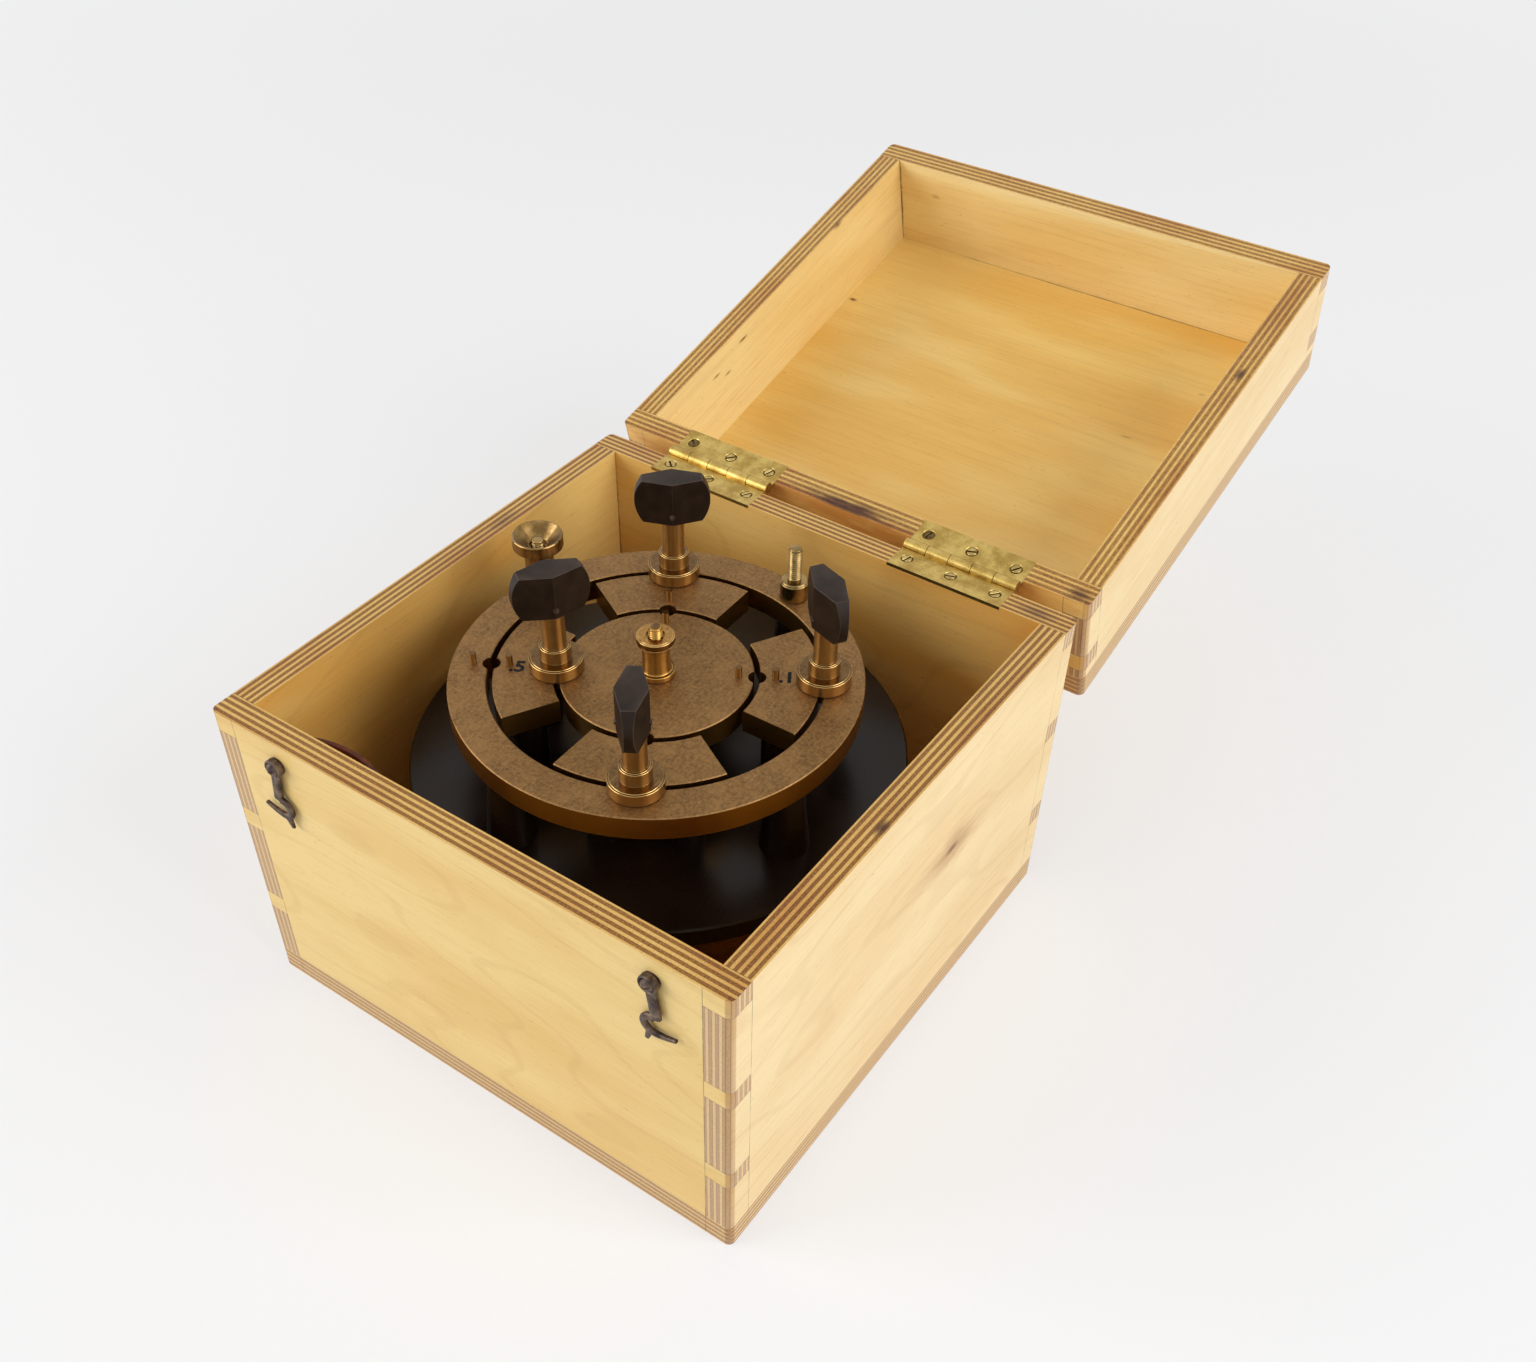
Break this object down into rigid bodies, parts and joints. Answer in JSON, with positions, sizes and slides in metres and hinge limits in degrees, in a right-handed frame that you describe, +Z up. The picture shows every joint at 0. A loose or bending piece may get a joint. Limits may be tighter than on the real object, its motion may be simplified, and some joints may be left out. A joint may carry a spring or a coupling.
{
  "type": "plug-switched capacitance box",
  "caption": "Laboratory capacitance standard in a hinged plywood box: brass contact ring, segments and disc on an ebonite plate, switched by lift-out plugs with ebonite handles.",
  "frame": {"origin": "centre of the box's underside", "axes": "+X along the front wall to the right, +Y from the front wall towards the hinges, +Z up"},
  "size_m": [0.25, 0.5213, 0.2111],
  "materials": {
    "plywood": "varnished birch plywood with bare edges",
    "hinge_brass": "bright yellow rolled brass",
    "dark_bronze": "browned bronze",
    "leather": "reddish brown hide",
    "ebonite": "polished black hard rubber",
    "handle_ebonite": "satin brown-black hard rubber",
    "block_brass": "lacquered brass with dulled, mottled tops",
    "turned_brass": "turned and lacquered brass",
    "case_brass": "plain sheet and bar brass",
    "mica": "waxed mica and foil stack"
  },
  "bodies": {
    "box": {"box_bottom": "plywood", "box_front_wall": "plywood", "box_back_wall": "plywood", "box_left_wall": "plywood", "box_right_wall": "plywood", "hinge_left_box_leaf": "hinge_brass", "hinge_right_box_leaf": "hinge_brass", "hinge_pins": "hinge_brass", "box_hinge_screws": "hinge_brass", "hook_washers": "dark_bronze", "hook_screws": "dark_bronze", "leather_strap": "leather", "strap_tacks": "hinge_brass"},
    "lid": {"lid_top": "plywood", "lid_front_wall": "plywood", "lid_back_wall": "plywood", "lid_left_wall": "plywood", "lid_right_wall": "plywood", "hinge_left_lid_leaf": "hinge_brass", "hinge_right_lid_leaf": "hinge_brass", "lid_hinge_screws": "hinge_brass", "catch_studs": "dark_bronze"},
    "hook_left": {"hook_left": "dark_bronze"},
    "hook_right": {"hook_right": "dark_bronze"},
    "instrument": {"case_base": "case_brass", "case_drum": "case_brass", "case_flanges": "case_brass", "case_top": "ebonite", "case_screws": "case_brass", "mica_stacks": "mica", "stack_clamps": "case_brass", "stack_bolts": "case_brass", "leads": "case_brass", "ring_pillars": "ebonite", "segment_pillars": "ebonite", "disc_pillar": "ebonite", "pillar_bolts": "turned_brass", "contact_ring": "block_brass", "contact_disc": "block_brass", "segment_right": "block_brass", "segment_back": "block_brass", "segment_left": "block_brass", "segment_front": "block_brass", "locating_pins": "turned_brass", "ring_terminals": "turned_brass", "centre_post": "turned_brass"},
    "centre_nut": {"centre_nut": "turned_brass"},
    "dish_nut": {"dish_nut": "turned_brass"},
    "plug_right": {"plug_right": "turned_brass", "handle_right": "handle_ebonite", "cross_pin_right": "turned_brass"},
    "plug_back": {"plug_back": "turned_brass", "handle_back": "handle_ebonite", "cross_pin_back": "turned_brass"},
    "plug_left": {"plug_left": "turned_brass", "handle_left": "handle_ebonite", "cross_pin_left": "turned_brass"},
    "plug_front": {"plug_front": "turned_brass", "handle_front": "handle_ebonite", "cross_pin_front": "turned_brass"}
  },
  "joints": [
    {"name": "lid_hinge", "type": "hinge", "parent": "box", "child": "lid", "pos_m": [0, 0.1295, 0.15325], "axis": [-1, 0, 0], "range_deg": [-166.8, 0]},
    {"name": "hook_left_pivot", "type": "hinge", "parent": "box", "child": "hook_left", "pos_m": [-0.0898, -0.1268, 0.1422], "axis": [0, 1, 0], "range_deg": [-30, 180]},
    {"name": "hook_right_pivot", "type": "hinge", "parent": "box", "child": "hook_right", "pos_m": [0.092, -0.1268, 0.1422], "axis": [0, -1, 0], "range_deg": [-30, 180]},
    {"name": "instrument_lift", "type": "slide", "parent": "box", "child": "instrument", "axis": [0, 0, 1], "range_m": [0, 0.16]},
    {"name": "centre_nut_turn", "type": "hinge", "parent": "instrument", "child": "centre_nut", "pos_m": [-0.0008, -0.001, 0.166], "axis": [0, 0, 1], "continuous": true},
    {"name": "dish_nut_turn", "type": "hinge", "parent": "instrument", "child": "dish_nut", "pos_m": [-0.07578, 0.01562, 0.166], "axis": [0, 0, 1], "continuous": true},
    {"name": "plug_right_lift", "type": "slide", "parent": "instrument", "child": "plug_right", "axis": [0, 0, 1], "range_m": [0, 0.03]},
    {"name": "plug_back_lift", "type": "slide", "parent": "instrument", "child": "plug_back", "axis": [0, 0, 1], "range_m": [0, 0.03]},
    {"name": "plug_left_lift", "type": "slide", "parent": "instrument", "child": "plug_left", "axis": [0, 0, 1], "range_m": [0, 0.03]},
    {"name": "plug_front_lift", "type": "slide", "parent": "instrument", "child": "plug_front", "axis": [0, 0, 1], "range_m": [0, 0.03]}
  ]
}
